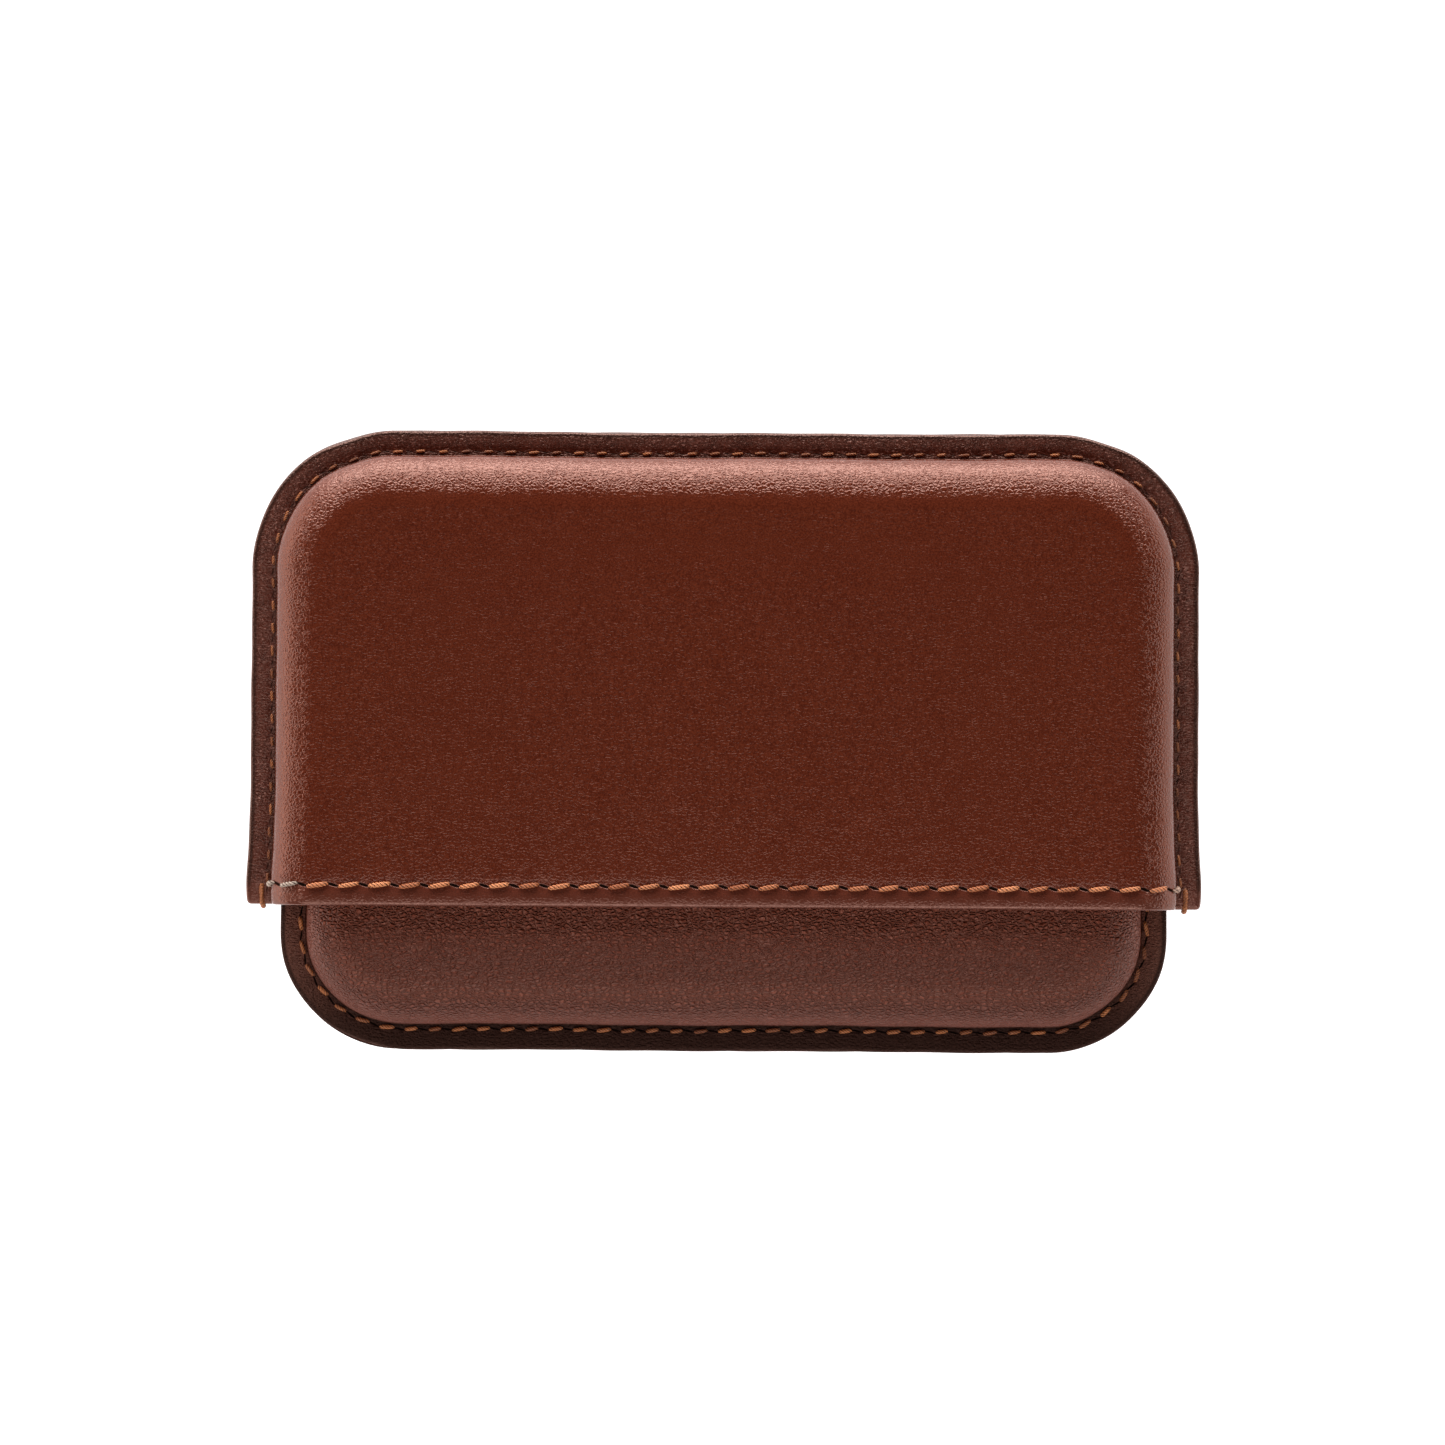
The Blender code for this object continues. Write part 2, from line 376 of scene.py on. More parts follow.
def make_piece(name, half, front, points, faces, attributes=None):
    """A mesh object in its place in the case, from points in a half's own frame."""
    points = settle(half, points, front)
    mesh = bpy.data.meshes.new(name)
    mesh.from_pydata((points * MM).tolist(), [], faces)
    for key, values in (attributes or {}).items():
        kind = "FLOAT_VECTOR" if values.ndim == 2 else "FLOAT"
        layer = mesh.attributes.new(key, kind, "POINT")
        field = "vector" if values.ndim == 2 else "value"
        layer.data.foreach_set(field, values.astype(np.float32).ravel())
    mesh.transform(shell_matrix(half, front))
    mesh.update()
    mesh.shade_smooth()
    piece = bpy.data.objects.new(name, mesh)
    bpy.context.scene.collection.objects.link(piece)
    return piece


def fit(piece, half, node, material):
    """The piece takes the node's place on its body."""
    piece.data.materials.append(material)
    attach(piece, half.name)
    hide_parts(node)


# ---------------------------------------------------------------- seams


def mouth_seam_line(half):
    """The mouth seam's place and outward normal, by run to the right of the middle."""
    section = np.array(dome_section(half, 0.0, 0.0, 40))
    normals = section_normals(section)
    run = run_along(section)
    flat = half.width / 2 - section[-1, 0]
    runs = flat + run[-1] - run[::-1]
    right = np.stack([half.width / 2 - section[::-1, 0], section[::-1, 1]], axis=1)
    turned = normals[::-1] * [-1, 1]
    turned[0] = (0, 1)
    runs = np.concatenate([-runs[::-1], runs])
    places = np.concatenate([right[::-1] * [-1, 1], right])
    facing = np.concatenate([turned[::-1] * [-1, 1], turned])
    level = np.full(len(runs), MOUTH_SEAM.inset)
    return runs, np.column_stack([places[:, 0], level, places[:, 1]]), np.column_stack(
        [facing[:, 0], np.zeros(len(runs)), facing[:, 1]]
    )


def rim_seam_line(half):
    """The rim seam's place and normal, by run from the mouth's right corner."""
    path = u_path(half, 0.25, 0.0)
    places = ring(half, path, half.rim_seam.inset)
    runs = run_along(places)
    level = np.full(len(runs), RIM_HEIGHT)
    up = np.zeros((len(runs), 3))
    up[:, 2] = 1
    return runs, np.column_stack([places, level]), up


def rim_layout(half):
    """(pitch, number of stitches) of the rim seam."""
    runs, _, _ = rim_seam_line(half)
    length = runs[-1] - 2 * RIM_SEAM_START
    count = round(length / half.rim_seam.pitch)
    return length / count, count


def at_run(line, run):
    """The places and normals of a seam line at the given runs."""
    runs, places, normals = line
    place = np.stack([np.interp(run, runs, places[:, k]) for k in range(3)], axis=-1)
    normal = np.stack([np.interp(run, runs, normals[:, k]) for k in range(3)], axis=-1)
    return place, normal / np.linalg.norm(normal, axis=-1, keepdims=True)


def seam_dent(run, off, start, pitch):
    """How far the leather is drawn in round a seam: a channel, and a pit at each hole."""
    to_hole = (run - start) / pitch
    to_hole = (to_hole - np.round(to_hole)) * pitch
    channel = np.exp(-((off / 0.62) ** 2))
    pit = np.exp(-(to_hole**2 + off**2) / 0.34)
    pillow = np.exp(-(((np.abs(off) - 1.0) / 0.55) ** 2)) * np.cos(2 * math.pi * to_hole / pitch)
    return 0.07 * channel + 0.08 * pit + 0.008 * pillow


# ---------------------------------------------------------------- leather shells


def outward_of(skin, path, section_out):
    """The way out of the leather at every point of a skin."""
    angle = np.zeros(skin.round)
    angle[len(path.rows) - 1 : skin.last + 1] = path.angles
    angle[skin.last : skin.last + skin.span + 1] = math.pi / 2
    angle[skin.last + skin.span :] = math.pi - angle[: skin.last + 1][::-1]
    outward = np.stack([np.cos(angle), np.sin(angle)], axis=1)
    out = np.zeros((len(skin.points), 3))
    for number, (inward, upward) in enumerate(section_out):
        rows = slice(number * skin.round, (number + 1) * skin.round)
        out[rows, :2] = -outward * inward
        out[rows, 2] = upward
    out[skin.on_rings :, 2] = 1
    return out


def rim_seam_places(skin, path, section):
    """Every point's run along the rim seam, and its distance from it."""
    seam_inset = skin.half.rim_seam.inset
    inset, height = section[skin.ring_of].T
    off = np.full(len(skin.points), FAR)
    off[: skin.on_rings] = inset - seam_inset + np.maximum(height - RIM_HEIGHT, 0)
    at = np.zeros(len(skin.points))
    run = run_along(ring(skin.half, path, seam_inset)) + path.rows[0]
    at[: skin.on_rings] = np.tile(run, skin.rings)
    return at, off


def mouth_seam_places(skin, section):
    """Every point's run along the mouth seam, its distance from it, and its share of the dome."""
    run = run_along(section)
    ring_run = skin.half.width / 2 - section[-1, 0] + run[-1] - run[skin.ring_of]
    place = np.tile(np.arange(skin.round), skin.rings)
    at = skin.points[:, 0].copy()
    side_run = np.where(place <= skin.last, ring_run, -ring_run)
    at_end = (place > skin.last) & (place < skin.last + skin.span)
    at[: skin.on_rings] = np.where(at_end, at[: skin.on_rings], side_run)
    in_dome = np.full(len(skin.points), 1.0)
    ring_height = section[skin.ring_of, 1]
    in_dome[: skin.on_rings] = smooth(ring_height, RIM_HEIGHT + 0.2, RIM_HEIGHT + 1)
    return at, skin.points[:, 1] - MOUTH_SEAM.inset, in_dome


def mouth_roll(points, outer, inner):
    """Rows of points over the mouth's edge, from the outer skin's points to the inner skin."""
    outer_line, inner_line = outer.mouth_line(), inner.mouth_line()
    rows = []
    for step in range(1, ROLL_STEPS):
        turn = math.pi * step / ROLL_STEPS
        share = (1 - math.cos(turn)) / 2
        row = points[outer_line] * (1 - share) + inner.points[inner_line] * share
        row[:, 1] = MOUTH_ROLL * (1 - math.sin(turn) ** 0.8)
        rows.append(row)
    return rows


def shell_faces(outer, inner):
    """The faces of both skins, of the rim's edge and of the mouth's roll, which closes the ends."""
    shift = len(outer.points)
    faces = outer.ring_faces() + outer.ladder_faces()
    faces += [tuple(v + shift for v in reversed(f)) for f in inner.ring_faces()]
    faces += [tuple(v + shift for v in f) for f in inner.strip_faces()]
    rims = list(zip(outer.edge_line(), [v + shift for v in inner.edge_line()]))
    faces += [(a, c, d, b) for (a, c), (b, d) in zip(rims, rims[1:])]
    rows = [outer.mouth_line()]
    width = len(rows[0])
    rows += [
        [2 * shift + number * width + k for k in range(width)] for number in range(ROLL_STEPS - 1)
    ]
    rows.append([v + shift for v in inner.mouth_line()])
    for upper, lower in zip(rows, rows[1:]):
        for k in range(width - 1):
            faces.append((upper[k], upper[k + 1], lower[k + 1], lower[k]))
    faces.append(tuple(row[0] for row in rows))
    faces.append(tuple(row[-1] for row in rows[::-1]))
    return faces


def leather_zones(skin, section):
    """The shares, from 0 to 1, by which the finish of the outer skin changes over it."""
    half = skin.half
    inset = np.full(len(skin.points), FAR)
    inset[: skin.on_rings] = section[skin.ring_of, 0]
    along, height = skin.points[:, 1], skin.points[:, 2]
    steep = 1 - smooth(height, half.top - 2.2, half.top - 0.6)
    # Painted shade: a dark band where the wall meets the rim.
    crease = np.exp(-(((inset - half.rim_flat + 0.08) / 0.22) ** 2))
    end, light_band = np.zeros(len(inset)), np.zeros(len(inset))
    if half.name == "tray":
        # Painted shade darkens the closed end, and painted light brightens a band just clear of the
        # cap's mouth and the tray's shoulder.
        # Painted shade: the share of the closed end that is darkened.
        end = smooth(along, half.length - 14, half.length - 1)
        light_band = smooth(along, 36.5, 39.5) * (1 - smooth(along, 41.0, 46.5))
        crease = crease * (0.35 + 0.65 * end)
        light_band = np.maximum(light_band, 0.8 * np.exp(-(((inset - 6.3) / 1.1) ** 2)))
    return {
        "rim": 1 - smooth(inset, half.rim_flat, half.rim_flat + 0.12),
        # Dark edge paint on the rim's edge, with painted shade where it faces away from the lights;
        # on the tray the closed end's painted shade joins it.
        "burnish": np.maximum(1 - smooth(inset, 0.5, 0.75), end),
        # A paler mouth edge, with painted light over the strip below the mouth stitches.
        "lip": 1 - 0.3 * smooth(along, 0.35, 1.0) - 0.7 * smooth(along, 1.5, 2.7),
        # Painted shade at the foot of the wall, strongest towards the tray's closed end.
        "crease": crease,
        "grain": 1 - 0.6 * steep,
        # Painted light: a paler band clear of the cap's mouth and round the tray's shoulder.
        "painted_light_share": light_band,
        "face": smooth(height, half.top - 0.4, half.top - 0.02),
    }


def leather_shell(half, front):
    """The leather of one shell, drawn in along its seams, with the zones of its finish."""
    outer_section, inner_section, section_out = leather_section(half)
    path = u_path(half, FINE, MOUTH_ROLL)
    outer, inner = Skin(half, path, outer_section), Skin(half, path, inner_section)
    rim_at, rim_off = rim_seam_places(outer, path, outer_section)
    mouth_at, mouth_off, in_dome = mouth_seam_places(outer, outer_section)
    rim_pitch, _ = rim_layout(half)
    dent = seam_dent(rim_at, rim_off, RIM_SEAM_START, rim_pitch)
    dent += in_dome * seam_dent(mouth_at, mouth_off, 0.0, MOUTH_SEAM.pitch)
    swell = 0.07 * in_dome * np.exp(-(((mouth_off + 1.25) / 0.6) ** 2))
    points = outer.points - outward_of(outer, path, section_out) * (dent - swell)[:, None]
    all_points = np.concatenate([points, inner.points] + mouth_roll(points, outer, inner))

    extra = len(all_points) - len(points)
    attributes = {
        key: np.concatenate([values, np.full(extra, 1.0 if key == "lip" else 0.0)])
        for key, values in leather_zones(outer, outer_section).items()
    }
    for key, stitch_number, off in (
        ("rim_seam", (rim_at - RIM_SEAM_START) / rim_pitch, rim_off),
        ("mouth_seam", mouth_at / MOUTH_SEAM.pitch, np.where(in_dome > 0.3, mouth_off, FAR)),
    ):
        seam_place = np.column_stack([stitch_number, off, np.zeros(len(points))])
        attributes[key] = np.concatenate([seam_place, np.full((extra, 3), FAR)])
    side = "front" if front else "back"
    name = f"{half.name}_{side}_skin"
    return drop_unused(name, half, front, all_points, shell_faces(outer, inner), attributes)


def drop_unused(name, half, front, points, faces, attributes):
    """Makes the piece without the points that no face uses."""
    used = np.unique(np.concatenate([np.array(f) for f in faces]))
    number = np.full(len(points), -1)
    number[used] = np.arange(len(used))
    faces = [tuple(int(number[v]) for v in f) for f in faces]
    kept = {key: values[used] for key, values in attributes.items()}
    return make_piece(name, half, front, points[used], faces, kept)


def lining_shell(half, front):
    """The thin lining of one shell, as a closed sheet inside the leather."""
    half = half._replace(rim_flat=half.rim_flat - WALL_SWELL - LINING_PRESS)
    start = [(LIP + 0.1, 0.275), (1.4, 0.275)]
    outer_section = np.array(start + dome_section(half, LINING_DEPTH, BOARD_SLOT, 8))
    start = [(LIP + 0.1, 0.025), (1.4, 0.025)]
    inner_section = np.array(start + dome_section(half, LINING_DEPTH + LINING, BOARD_SLOT, 8))
    path = u_path(half, COARSE, 0.3)
    outer, inner = Skin(half, path, outer_section), Skin(half, path, inner_section)
    total = len(outer.points)
    faces = outer.ring_faces() + outer.ladder_faces()
    faces += [tuple(v + total for v in f[::-1]) for f in inner.ring_faces() + inner.ladder_faces()]
    for line, other in (
        (outer.edge_line(), inner.edge_line()),
        (outer.mouth_line()[::-1], inner.mouth_line()[::-1]),
    ):
        pairs = [(a, b + total) for a, b in zip(line, other)]
        faces += [(a, c, d, b) for (a, c), (b, d) in zip(pairs, pairs[1:])]
    points = np.concatenate([outer.points, inner.points])
    side = "front" if front else "back"
    return make_piece(f"{half.name}_{side}_suede", half, front, points, faces)


# ---------------------------------------------------------------- stitches


def ply_tubes(centres, normals, radius, twist, phase, facets):
    """Three plies twisted together round a line. Returns (points, faces, height above groove)."""
    steps = len(centres)
    tangent = np.gradient(centres, axis=0)
    tangent /= np.linalg.norm(tangent, axis=1, keepdims=True)
    across = np.cross(normals, tangent)
    across /= np.linalg.norm(across, axis=1, keepdims=True)
    upward = np.cross(tangent, across)
    run = run_along(centres)
    radius = radius[:, None]
    angles = np.linspace(0, 2 * math.pi, facets, endpoint=False)
    points, faces = [], []
    for ply in range(3):
        turn = 2 * math.pi * (ply / 3 + run / twist) + phase
        lay = np.cos(turn)[:, None] * across + np.sin(turn)[:, None] * upward
        line = centres + lay * radius * PLY_SPREAD
        way = np.gradient(line, axis=0)
        way /= np.linalg.norm(way, axis=1, keepdims=True)
        first = np.cross(way, upward)
        first /= np.linalg.norm(first, axis=1, keepdims=True)
        second = np.cross(way, first)
        spoke = np.cos(angles)[None, :, None] * first[:, None] + (
            np.sin(angles)[None, :, None] * second[:, None]
        )
        points.append((line[:, None] + spoke * radius[:, None]).reshape(-1, 3))
        base = ply * steps * facets
        for a in range(steps - 1):
            for b in range(facets):
                c = (b + 1) % facets
                faces.append(
                    (
                        base + a * facets + b,
                        base + (a + 1) * facets + b,
                        base + (a + 1) * facets + c,
                        base + a * facets + c,
                    )
                )
        faces.append(tuple(base + b for b in range(facets)))
        faces.append(tuple(base + (steps - 1) * facets + b for b in reversed(range(facets))))
    points = np.concatenate(points)
    middle = np.tile(np.repeat(centres, facets, axis=0), (3, 1))
    reach = np.linalg.norm(points - middle, axis=1)
    full = np.tile(np.repeat(radius[:, 0], facets), 3) * (1 + PLY_SPREAD)
    return points, faces, smooth(reach / full, 0.7, 1.0)


def stitch_strand(line, seam, first, last, rng):
    """One stitch between two holes: its points, their normals and the ply's radius at each."""
    along = np.linspace(0, 1, STITCH_STEPS)
    from_middle = np.abs(2 * along - 1)
    gap = seam.gap * (last - first) * rng.uniform(0.85, 1.15)
    run = first + gap * 0.5 + along * (last - first - gap)
    place, normal = at_run(line, run)
    side = np.cross(normal, np.gradient(place, axis=0))
    side /= np.linalg.norm(side, axis=1, keepdims=True)
    lean = seam.tilt * rng.uniform(0.75, 1.25) * (2 * along - 1)
    lean = lean + rng.uniform(-0.05, 0.05)
    dive = np.clip((from_middle - 0.55) / 0.45, 0, 1) ** 2 * 0.85
    height = seam.lift * (1.1 - 0.3 * from_middle**2) + rng.uniform(-0.03, 0.03) - dive
    centres = place + side * lean[:, None] + normal * height[:, None]
    taper = 1 - 0.4 * from_middle**3
    return centres, normal, seam.ply * taper * rng.uniform(0.94, 1.06)


def sew(name, half, front, line, holes, seam, rng, wraps=(), highlight_share=lambda run: 0.0):
    """A row of stitches between neighbouring holes, and the wraps at its ends."""
    all_points, all_faces, shades, crowns, thread_highlight = [], [], [], [], []

    def lay(strand, twist, shade, rubbed):
        made, faces, crown = ply_tubes(*strand, twist, rng.uniform(0, 2 * math.pi), THREAD_SIDES)
        total = sum(len(points) for points in all_points)
        all_points.append(made)
        all_faces.extend(tuple(v + total for v in face) for face in faces)
        tone = rng.uniform(0, 1) if shade is None else shade
        shades.append(np.full(len(made), tone))
        crowns.append(crown)
        thread_highlight.append(np.full(len(made), rubbed))

    for first, last in zip(holes, holes[1:]):
        strand = stitch_strand(line, seam, first, last, rng)
        lay(strand, seam.twist, None, highlight_share((first + last) / 2))
    for centres, normal in wraps:
        lay((centres, normal, np.full(len(centres), WRAP_PLY)), WRAP_TWIST, WRAP_SHADE, 0.0)
    attributes = {
        "stitch_shade": np.concatenate(shades),
        "crown": np.concatenate(crowns),
        "thread_highlight": np.concatenate(thread_highlight),
    }
    return make_piece(name, half, front, np.concatenate(all_points), all_faces, attributes)


def edge_wrap(half, sign):
    """The end stitch that is carried over the mouth's edge, as a line of points and normals."""
    x = sign * (half.width / 2 - WRAP_INSET)
    knots = np.array(
        [
            (x, 2.35, RIM_HEIGHT - 0.7),
            (x, 2.15, RIM_HEIGHT + 0.02),
            (x + 0.04 * sign, 1.4, RIM_HEIGHT + 0.16),
            (x + 0.06 * sign, 0.35, RIM_HEIGHT + 0.16),
            (x + 0.05 * sign, -0.08, RIM_HEIGHT - 0.1),
            (x, -0.2, RIM_HEIGHT - 0.55),
            (x, -0.2, 0.06),
        ]
    )
    steps = np.linspace(0, len(knots) - 1, 18)
    line = np.stack([np.interp(steps, range(len(knots)), knots[:, k]) for k in range(3)], axis=1)
    padded = np.concatenate([line[:1], line, line[-1:]])
    line = (padded[:-2] + 2 * padded[1:-1] + padded[2:]) / 4
    tangent = np.gradient(line, axis=0)
    normal = np.cross(tangent, [1.0, 0.0, 0.0]) * -1
    normal /= np.linalg.norm(normal, axis=1, keepdims=True)
    return line, normal


def thread_pieces(half, front, seed):
    """The mouth's coarse stitches and the rim's fine ones, on one shell."""
    side = "front" if front else "back"
    rng = np.random.default_rng(seed)
    count = MOUTH_STITCHES[half.name]
    holes = [k * MOUTH_SEAM.pitch for k in range(-count, count + 1)]

    def highlight_share(run):
        """Painted highlight: the stitches over the cap's shoulders are painted pale, those on the
        left most.
        """
        if half.name == "tray":
            return 0.0
        return float(smooth(-run, 46.0, 49.0) + 0.7 * smooth(run, 49.0, 51.0))

    mouth = sew(
        f"{half.name}_{side}_mouth_stitches",
        half,
        front,
        mouth_seam_line(half),
        holes,
        MOUTH_SEAMS[half.name],
        rng,
        highlight_share=highlight_share,
    )
    pitch, count = rim_layout(half)
    holes = [RIM_SEAM_START + k * pitch for k in range(count + 1)]
    wraps = [edge_wrap(half, 1), edge_wrap(half, -1)]
    rim = sew(
        f"{half.name}_{side}_rim_stitches",
        half,
        front,
        rim_seam_line(half),
        holes,
        half.rim_seam,
        rng,
        wraps,
    )
    return mouth, rim


# ---------------------------------------------------------------- shader building


class Value:
    """A shader socket that can be used in Python sums."""

    def __init__(self, graph, socket):
        self.graph = graph
        self.socket = socket

    def maths(self, operation, *others):
        """The output of a maths node, with this value first."""
        inputs = dict(enumerate((self, *others)))
        return self.graph.node("ShaderNodeMath", {"operation": operation}, inputs)

    def __add__(self, other):
        return self.maths("ADD", other)

    def __sub__(self, other):
        return self.maths("SUBTRACT", other)

    def __mul__(self, other):
        return self.maths("MULTIPLY", other)

    def __truediv__(self, other):
        return self.maths("DIVIDE", other)

    def __rsub__(self, other):
        return self.maths("MULTIPLY", -1.0).maths("ADD", other)

    def __pow__(self, other):
        return self.maths("POWER", other)

    __radd__ = __add__
    __rmul__ = __mul__


class Graph:
    """The node tree of one material."""

    def __init__(self, name):
        self.material = bpy.data.materials.new(name)
        self.material.use_nodes = True
        self.tree = self.material.node_tree
        self.shader = self.tree.nodes["Principled BSDF"]

    def node(self, kind, settings, inputs, output=0):
        """A new node's output. settings are the node's own, inputs are values or other outputs."""
        made = self.tree.nodes.new(kind)
        for key, value in settings.items():
            setattr(made, key, value)
        for key, value in inputs.items():
            self.feed(find_socket(made.inputs, key), value)
        return Value(self, find_socket(made.outputs, output))

    def feed(self, socket, value):
        """Links another node's output to a socket, or sets a plain value on it."""
        if isinstance(value, Value):
            self.tree.links.new(value.socket, socket)
        else:
            socket.default_value = value

    def finish(self, **inputs):
        """The material, once the surface's inputs are fed."""
        for key, value in inputs.items():
            self.feed(self.shader.inputs[key.replace("_", " ")], value)
        return self.material

    def noise(self, where, size, detail=2.0, roughness=0.5, output="Fac"):
        """Soft noise with features of about the given size."""
        inputs = {"Vector": where, "Scale": 1 / (size * MM), "Detail": detail}
        inputs["Roughness"] = roughness
        return self.node("ShaderNodeTexNoise", {}, inputs, output)

    def ramp(self, value, low, high, to_low=0.0, to_high=1.0):
        """A soft step from to_low to to_high while the value goes from low to high."""
        inputs = {"Value": value, "From Min": low, "From Max": high}
        inputs.update({"To Min": to_low, "To Max": to_high})
        return self.node("ShaderNodeMapRange", {"interpolation_type": "SMOOTHSTEP"}, inputs)

    def mix(self, share, first, second):
        """The first colour with a share of the second one in it."""
        settings = {"data_type": "RGBA", "blend_type": "MIX"}
        inputs = {"Factor_Float": share, "A_Color": first, "B_Color": second}
        return self.node("ShaderNodeMix", settings, inputs, "Result_Color")

    def bump(self, height, depth):
        """The normal of a relief of the given depth."""
        inputs = {"Height": height, "Distance": depth * MM, "Strength": 1.0}
        return self.node("ShaderNodeBump", {}, inputs, "Normal")

    def attributes(self, *names):
        """The shares that the mesh carries under these names."""
        return [
            self.node("ShaderNodeAttribute", {"attribute_name": name}, {}, "Fac") for name in names
        ]

    def stretched(self, where, x, y, z):
        """A place scaled on each axis."""
        inputs = {0: where, 1: (x, y, z)}
        return self.node("ShaderNodeVectorMath", {"operation": "MULTIPLY"}, inputs)

    def moved(self, where, by, amount):
        """A place pushed about by a colour."""
        push = self.node(
            "ShaderNodeVectorMath", {"operation": "SUBTRACT"}, {0: by, 1: (0.5, 0.5, 0.5)}
        )
        push = self.node(
            "ShaderNodeVectorMath", {"operation": "SCALE"}, {0: push, "Scale": amount * MM}
        )
        return self.node("ShaderNodeVectorMath", {"operation": "ADD"}, {0: where, 1: push})

    def place(self):
        """Where the surface lies in the part's own frame."""
        return self.node("ShaderNodeTexCoord", {}, {}, "Object")


def find_socket(sockets, key):
    """A node's socket by number, or by its identifier or name among those in use."""
    if isinstance(key, int):
        return sockets[key]
    for socket in sockets:
        if key in (socket.identifier, socket.name) and socket.enabled:
            return socket
    return sockets[key]


def colour(red, green, blue):
    """A linear colour from screen values of 0 to 255."""
    linear = []
    for channel in (red, green, blue):
        share = channel / 255
        linear.append(share / 12.92 if share < 0.04045 else ((share + 0.055) / 1.055) ** 2.4)
    return (*linear, 1.0)


# ---------------------------------------------------------------- materials

# Colours: deep and light on the moulding, rim_deep and rim_light on the rim, burnished on its edge:
# dark edge paint, darkened as painted shade where the edge faces away from the lights and, on the
# tray, over the closed end; lip at the mouth: a paler edge, with painted light over the strip below
# the stitches. Shares: rubbed for pale specks painted on the rim for its glints, matt_edge
# for a duller edge, crease for painted shade at the foot of the wall, rim_slits for
# the rim's needle slits, crease_dye for darker colour between the grain's cells, face_calm for
# less grain on the flat face, dark_end for a near-black metal that deepens the painted shade of the
# tray's closed end, rim edge and wall's foot. Sizes: cell and relief. Roughness: bright to dull.
Look = namedtuple(
    "Look",
    "name half deep light rim_deep rim_light rubbed burnished matt_edge lip crease rim_slits "
    "crease_dye cell cell_shape relief face_calm bright dull dark_end",
)


def needle_slits(graph, name, seam, pitch):
    """1 in the slit at each needle hole, fading to 0 outside it."""
    where = graph.node("ShaderNodeAttribute", {"attribute_name": name}, {}, "Vector")
    parts = {"Vector": where}
    run = graph.node("ShaderNodeSeparateXYZ", {}, parts, "X")
    off = graph.node("ShaderNodeSeparateXYZ", {}, parts, "Y")
    from_hole = ((run + 0.5).maths("FRACT") - 0.5) * pitch
    lean_cos, lean_sin = math.cos(seam.slit_lean), math.sin(seam.slit_lean)
    long_way = (from_hole * lean_cos + off * lean_sin) / seam.slit_length
    short_way = (off * lean_cos - from_hole * lean_sin) / seam.slit_width
    distance = (long_way**2.0 + short_way**2.0).maths("SQRT")
    return graph.ramp(distance, 0.55, 1.35, 1.0, 0.0)


